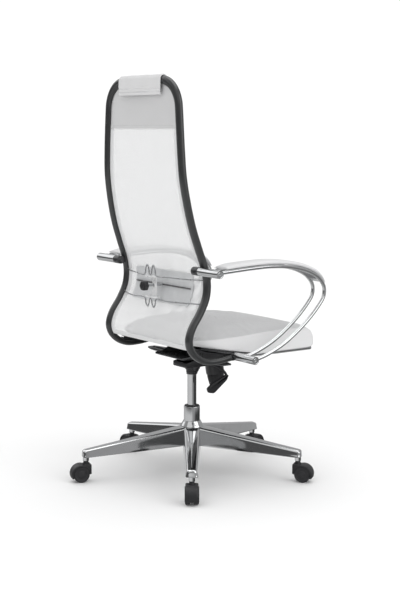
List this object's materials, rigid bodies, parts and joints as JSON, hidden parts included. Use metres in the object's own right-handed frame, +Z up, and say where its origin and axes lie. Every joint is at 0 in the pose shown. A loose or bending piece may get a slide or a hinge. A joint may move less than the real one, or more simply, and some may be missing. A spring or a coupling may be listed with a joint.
{
  "type": "swivel office chair",
  "caption": "High-back mesh swivel office chair with an S-curved tube frame, loop arms, lumbar screw, tilt, gas lift and a star base on casters.",
  "frame": {"origin": "on the floor at the centre of the chair's footprint", "axes": "+Z up, the sitter faces -Y and has the left hand on the +X side"},
  "size_m": [0.706, 0.7386, 1.2077],
  "materials": {
    "polished_chrome": "polished chrome plate on the legs, column, arm tubes and lumbar bracket",
    "bare_steel": "bright zinc-plated steel, satin",
    "frame_lacquer": "dark graphite powder coat, satin",
    "black_plastic": "fine-textured black moulded nylon",
    "black_steel": "black semi-gloss powder coat",
    "grey_steel": "grey glossy lacquer on pressed steel",
    "wheel_nylon": "black nylon wheel with a softer tread",
    "white_mesh": "sheer white woven mesh, taut and slightly see-through",
    "white_leather": "fine-grained white leatherette, satin",
    "seat_fabric": "pale grey spacer mesh over foam",
    "frosted_plastic": "frosted grey moulded plastic"
  },
  "bodies": {
    "base": {"star_base": "polished_chrome", "column_tube": "polished_chrome", "column_bush": "black_plastic", "thrust_bearing": "bare_steel"},
    "piston_rod": {"piston_rod": "bare_steel"},
    "lift": {"gas_cylinder": "polished_chrome", "mechanism_housing": "black_steel", "tension_spring": "bare_steel"},
    "release_pin": {"release_pin": "bare_steel"},
    "lift_lever": {"lift_lever": "black_plastic"},
    "tension_knob": {"tension_knob": "black_plastic"},
    "seat": {"tilt_pivot_pin": "bare_steel", "seat_carrier": "grey_steel", "seat_pan": "black_plastic", "seat_cushion": "seat_fabric", "back_frame": "frame_lacquer", "back_mesh": "white_mesh", "headrest_panel": "white_leather", "headrest_sleeve": "white_leather", "headrest_cushion": "white_leather", "lumbar_bracket": "polished_chrome", "lumbar_wire_upper": "bare_steel", "lumbar_wire_lower": "bare_steel", "side_bracket_left": "black_steel", "upper_arm_stub_left": "black_steel", "upper_arm_post_left": "polished_chrome", "lower_arm_post_left": "polished_chrome", "arm_rod_outer_left": "polished_chrome", "arm_rod_inner_left": "polished_chrome", "arm_pad_left": "white_leather", "arm_pad_plate_left": "grey_steel", "seat_tube_left": "polished_chrome", "side_bracket_right": "black_steel", "upper_arm_stub_right": "black_steel", "upper_arm_post_right": "polished_chrome", "lower_arm_post_right": "polished_chrome", "arm_rod_outer_right": "polished_chrome", "arm_rod_inner_right": "polished_chrome", "arm_pad_right": "white_leather", "arm_pad_plate_right": "grey_steel", "seat_tube_right": "polished_chrome"},
    "lumbar_pad": {"lumbar_plate": "frosted_plastic", "lumbar_bar": "black_steel"},
    "lumbar_knob": {"lumbar_screw": "bare_steel", "lumbar_knob": "black_plastic"},
    "caster_1": {"caster_1_fork": "black_plastic"},
    "caster_1_wheel_left": {"caster_1_wheel_left": "wheel_nylon"},
    "caster_1_wheel_right": {"caster_1_wheel_right": "wheel_nylon"},
    "caster_2": {"caster_2_fork": "black_plastic"},
    "caster_2_wheel_left": {"caster_2_wheel_left": "wheel_nylon"},
    "caster_2_wheel_right": {"caster_2_wheel_right": "wheel_nylon"},
    "caster_3": {"caster_3_fork": "black_plastic"},
    "caster_3_wheel_left": {"caster_3_wheel_left": "wheel_nylon"},
    "caster_3_wheel_right": {"caster_3_wheel_right": "wheel_nylon"},
    "caster_4": {"caster_4_fork": "black_plastic"},
    "caster_4_wheel_left": {"caster_4_wheel_left": "wheel_nylon"},
    "caster_4_wheel_right": {"caster_4_wheel_right": "wheel_nylon"},
    "caster_5": {"caster_5_fork": "black_plastic"},
    "caster_5_wheel_left": {"caster_5_wheel_left": "wheel_nylon"},
    "caster_5_wheel_right": {"caster_5_wheel_right": "wheel_nylon"}
  },
  "joints": [
    {"name": "caster_1_swivel", "type": "hinge", "parent": "base", "child": "caster_1", "pos_m": [0.30601, 0.00371, 0.06], "axis": [0, 0, 1], "continuous": true},
    {"name": "caster_1_roll_left", "type": "hinge", "parent": "caster_1", "child": "caster_1_wheel_left", "pos_m": [0.323, 0.00398, 0.025], "axis": [-0.0157, 0.9999, 0], "continuous": true},
    {"name": "caster_1_roll_right", "type": "hinge", "parent": "caster_1", "child": "caster_1_wheel_right", "pos_m": [0.323, 0.00398, 0.025], "axis": [-0.0157, 0.9999, 0], "continuous": true},
    {"name": "caster_2_swivel", "type": "hinge", "parent": "base", "child": "caster_2", "pos_m": [0.06955, 0.31864, 0.06], "axis": [0, 0, 1], "continuous": true},
    {"name": "caster_2_roll_left", "type": "hinge", "parent": "caster_2", "child": "caster_2_wheel_left", "pos_m": [0.07455, 0.33489, 0.025], "axis": [-0.9558, 0.294, 0], "continuous": true},
    {"name": "caster_2_roll_right", "type": "hinge", "parent": "caster_2", "child": "caster_2_wheel_right", "pos_m": [0.07455, 0.33489, 0.025], "axis": [-0.9558, 0.294, 0], "continuous": true},
    {"name": "caster_3_swivel", "type": "hinge", "parent": "base", "child": "caster_3", "pos_m": [-0.30303, 0.19108, 0.06], "axis": [0, 0, 1], "continuous": true},
    {"name": "caster_3_roll_left", "type": "hinge", "parent": "caster_3", "child": "caster_3_wheel_left", "pos_m": [-0.31694, 0.20086, 0.025], "axis": [-0.575, -0.8181, 0], "continuous": true},
    {"name": "caster_3_roll_right", "type": "hinge", "parent": "caster_3", "child": "caster_3_wheel_right", "pos_m": [-0.31694, 0.20086, 0.025], "axis": [-0.575, -0.8181, 0], "continuous": true},
    {"name": "caster_4_swivel", "type": "hinge", "parent": "base", "child": "caster_4", "pos_m": [-0.29685, -0.20269, 0.06], "axis": [0, 0, 1], "continuous": true},
    {"name": "caster_4_roll_left", "type": "hinge", "parent": "caster_4", "child": "caster_4_wheel_left", "pos_m": [-0.31044, -0.21289, 0.025], "axis": [0.6004, -0.7997, 0], "continuous": true},
    {"name": "caster_4_roll_right", "type": "hinge", "parent": "caster_4", "child": "caster_4_wheel_right", "pos_m": [-0.31044, -0.21289, 0.025], "axis": [0.6004, -0.7997, 0], "continuous": true},
    {"name": "caster_5_swivel", "type": "hinge", "parent": "base", "child": "caster_5", "pos_m": [0.07956, -0.31849, 0.06], "axis": [0, 0, 1], "continuous": true},
    {"name": "caster_5_roll_left", "type": "hinge", "parent": "caster_5", "child": "caster_5_wheel_left", "pos_m": [0.08507, -0.33457, 0.025], "axis": [0.9461, 0.3239, 0], "continuous": true},
    {"name": "caster_5_roll_right", "type": "hinge", "parent": "caster_5", "child": "caster_5_wheel_right", "pos_m": [0.08507, -0.33457, 0.025], "axis": [0.9461, 0.3239, 0], "continuous": true},
    {"name": "column_swivel", "type": "hinge", "parent": "base", "child": "piston_rod", "pos_m": [-0.02895, -0.00155, 0.0746], "axis": [0, 0, 1], "continuous": true},
    {"name": "height_slide", "type": "slide", "parent": "piston_rod", "child": "lift", "axis": [0, 0, 1], "range_m": [-0.09, 0]},
    {"name": "seat_tilt", "type": "hinge", "parent": "lift", "child": "seat", "pos_m": [-0.02895, -0.04855, 0.352], "axis": [-1, 0, 0], "range_deg": [0, 10], "stiffness_Nm_per_rad": 150, "springref_deg": -17.19},
    {"name": "lift_lever_turn", "type": "hinge", "parent": "lift", "child": "lift_lever", "pos_m": [-0.06495, -0.00655, 0.3513], "axis": [0, 1, 0], "range_deg": [0, 6], "stiffness_Nm_per_rad": 1, "springref_deg": -5.73},
    {"name": "release_pin_press", "type": "slide", "parent": "lift", "child": "release_pin", "axis": [0, 0, 1], "range_m": [-0.004, 0]},
    {"name": "tension_knob_turn", "type": "hinge", "parent": "lift", "child": "tension_knob", "pos_m": [-0.02895, -0.08355, 0.341], "axis": [0, 0.1685, 0.9857], "range_deg": [-1080, 1080]},
    {"name": "lumbar_slide", "type": "slide", "parent": "seat", "child": "lumbar_pad", "axis": [0, 1, 0], "range_m": [0, 0.009]},
    {"name": "lumbar_knob_turn", "type": "hinge", "parent": "lumbar_pad", "child": "lumbar_knob", "pos_m": [-0.02895, 0.16945, 0.592], "axis": [0, 1, 0], "range_deg": [0, 1080]}
  ],
  "couplings": [
    {"joint": "release_pin_press", "follows": "lift_lever_turn", "m_per_rad": -0.036},
    {"joint": "lumbar_knob_turn", "follows": "lumbar_slide", "rad_per_m": 2094}
  ]
}
